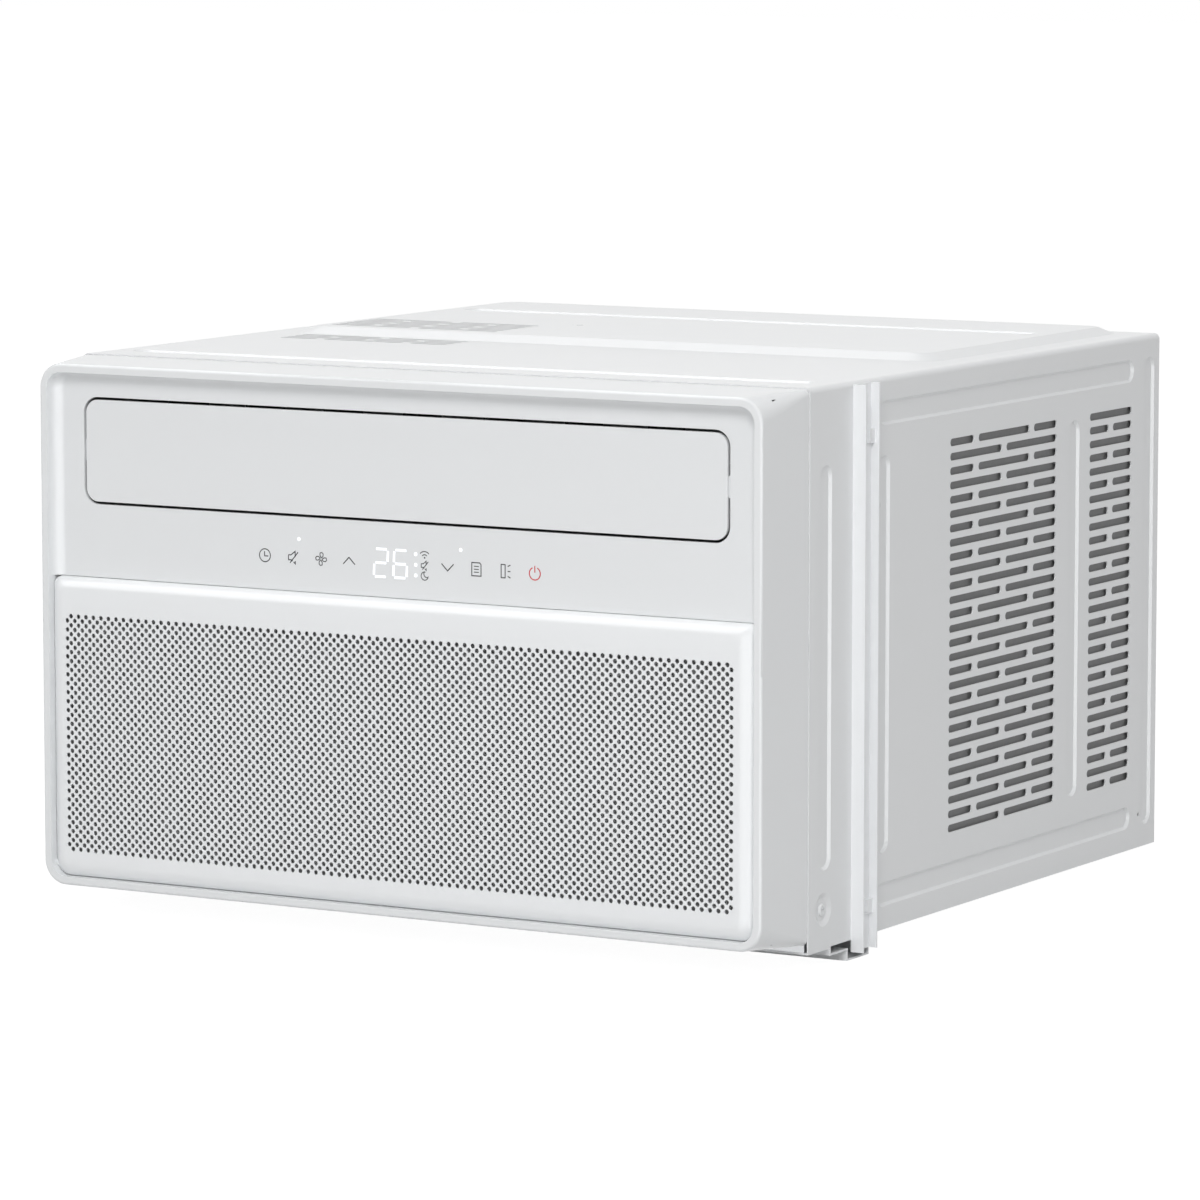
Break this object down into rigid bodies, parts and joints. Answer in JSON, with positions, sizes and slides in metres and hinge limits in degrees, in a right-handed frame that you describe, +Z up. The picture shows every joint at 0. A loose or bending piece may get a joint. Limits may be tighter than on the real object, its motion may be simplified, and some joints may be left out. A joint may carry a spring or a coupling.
{
  "type": "window_air_conditioner",
  "caption": "White window air conditioner with a perforated intake grille, tilting outlet flap, slotted steel case and side curtain rails.",
  "frame": {"origin": "Middle of the footprint, level with the underside of the bottom rail.", "axes": "+X to the right seen from the room, +Y from the room to the outdoors, +Z up."},
  "size_m": [0.5784, 0.5806, 0.3818],
  "materials": {
    "white_steel": "semi-gloss powder coat",
    "mesh": "woven filter net",
    "galvanised": "zinc coated sheet",
    "white_plastic": "fine matte moulding",
    "grey_plastic": "matte moulding",
    "steel": "plain steel",
    "foam": "moulded foam",
    "black_plastic": "matte moulding",
    "display": "smoked light block",
    "board": "coated circuit board",
    "fin_aluminium": "bare fin stock",
    "copper": "drawn copper tube",
    "black_paint": "semi-gloss black",
    "rubber": "moulded rubber"
  },
  "bodies": {
    "chassis": {"case_wrapper": "white_steel", "side_screen_right": "mesh", "side_screen_left": "mesh", "base_pan": "galvanised", "side_rail_right": "white_steel", "side_rail_left": "white_steel", "bottom_rail": "white_steel", "front_panel": "white_plastic", "flap_motor": "grey_plastic", "outlet_duct": "foam", "display_module": "display", "display_board": "board", "evaporator_fins": "fin_aluminium", "evaporator_plates": "galvanised", "evaporator_tube": "copper", "drip_tray": "foam", "scroll_housing": "foam", "bulkhead": "galvanised", "motor_bracket": "galvanised", "fan_motor": "black_paint", "fan_shroud": "grey_plastic", "condenser_fins": "fin_aluminium", "condenser_plates": "galvanised", "condenser_tube": "copper", "compressor": "black_paint", "compressor_grommets": "rubber", "compressor_studs": "steel", "accumulator": "black_paint", "suction_line": "copper", "discharge_line": "copper", "capillary_tube": "copper", "control_box": "galvanised", "control_cover": "galvanised", "main_board": "board", "run_capacitor": "grey_plastic", "drain_plug": "rubber", "case_screws": "steel", "cord_gland": "rubber"},
    "grille": {"intake_grille": "white_plastic", "filter_frame": "grey_plastic", "filter_mesh": "mesh"},
    "flap": {"outlet_flap": "white_plastic", "flap_pins": "steel"},
    "rotor": {"blower_wheel": "black_plastic", "motor_shaft": "steel", "shaft_nuts": "steel", "axial_fan": "black_plastic"},
    "vane_1": {"air_vane_1": "black_plastic"},
    "vane_2": {"air_vane_2": "black_plastic"},
    "vane_3": {"air_vane_3": "black_plastic"},
    "vane_4": {"air_vane_4": "black_plastic"},
    "vane_5": {"air_vane_5": "black_plastic"},
    "vane_6": {"air_vane_6": "black_plastic"},
    "vane_7": {"air_vane_7": "black_plastic"},
    "vane_8": {"air_vane_8": "black_plastic"},
    "tie_bar": {"vane_tie_bar": "black_plastic"}
  },
  "joints": [
    {"name": "grille_hinge", "type": "hinge", "parent": "chassis", "child": "grille", "pos_m": [0, -0.28265, 0.0348], "axis": [1, 0, 0], "range_deg": [0, 40]},
    {"name": "flap_hinge", "type": "hinge", "parent": "chassis", "child": "flap", "pos_m": [0, -0.26185, 0.31635], "axis": [1, 0, 0], "range_deg": [0, 75]},
    {"name": "rotor_spin", "type": "hinge", "parent": "chassis", "child": "rotor", "pos_m": [-0.05, -0.00365, 0.1631], "axis": [0, 1, 0], "continuous": true},
    {"name": "vane_1_hinge", "type": "hinge", "parent": "chassis", "child": "vane_1", "pos_m": [-0.21744, -0.20316, 0.31635], "axis": [0, 0, 1], "range_deg": [-35, 35]},
    {"name": "vane_2_hinge", "type": "hinge", "parent": "chassis", "child": "vane_2", "pos_m": [-0.15531, -0.20316, 0.31635], "axis": [0, 0, 1], "range_deg": [-35, 35]},
    {"name": "vane_3_hinge", "type": "hinge", "parent": "chassis", "child": "vane_3", "pos_m": [-0.09319, -0.20316, 0.31635], "axis": [0, 0, 1], "range_deg": [-35, 35]},
    {"name": "vane_4_hinge", "type": "hinge", "parent": "chassis", "child": "vane_4", "pos_m": [-0.03106, -0.20316, 0.31635], "axis": [0, 0, 1], "range_deg": [-35, 35]},
    {"name": "vane_5_hinge", "type": "hinge", "parent": "chassis", "child": "vane_5", "pos_m": [0.03106, -0.20316, 0.31635], "axis": [0, 0, 1], "range_deg": [-35, 35]},
    {"name": "vane_6_hinge", "type": "hinge", "parent": "chassis", "child": "vane_6", "pos_m": [0.09319, -0.20316, 0.31635], "axis": [0, 0, 1], "range_deg": [-35, 35]},
    {"name": "vane_7_hinge", "type": "hinge", "parent": "chassis", "child": "vane_7", "pos_m": [0.15531, -0.20316, 0.31635], "axis": [0, 0, 1], "range_deg": [-35, 35]},
    {"name": "vane_8_hinge", "type": "hinge", "parent": "chassis", "child": "vane_8", "pos_m": [0.21744, -0.20316, 0.31635], "axis": [0, 0, 1], "range_deg": [-35, 35]},
    {"name": "tie_bar_hinge", "type": "hinge", "parent": "vane_1", "child": "tie_bar", "pos_m": [-0.21744, -0.17916, 0.31635], "axis": [0, 0, 1], "range_deg": [-35, 35]}
  ],
  "couplings": [
    {"joint": "vane_2_hinge", "follows": "vane_1_hinge", "ratio": 1},
    {"joint": "vane_3_hinge", "follows": "vane_1_hinge", "ratio": 1},
    {"joint": "vane_4_hinge", "follows": "vane_1_hinge", "ratio": 1},
    {"joint": "vane_5_hinge", "follows": "vane_1_hinge", "ratio": 1},
    {"joint": "vane_6_hinge", "follows": "vane_1_hinge", "ratio": 1},
    {"joint": "vane_7_hinge", "follows": "vane_1_hinge", "ratio": 1},
    {"joint": "vane_8_hinge", "follows": "vane_1_hinge", "ratio": 1},
    {"joint": "tie_bar_hinge", "follows": "vane_1_hinge", "ratio": -1}
  ]
}
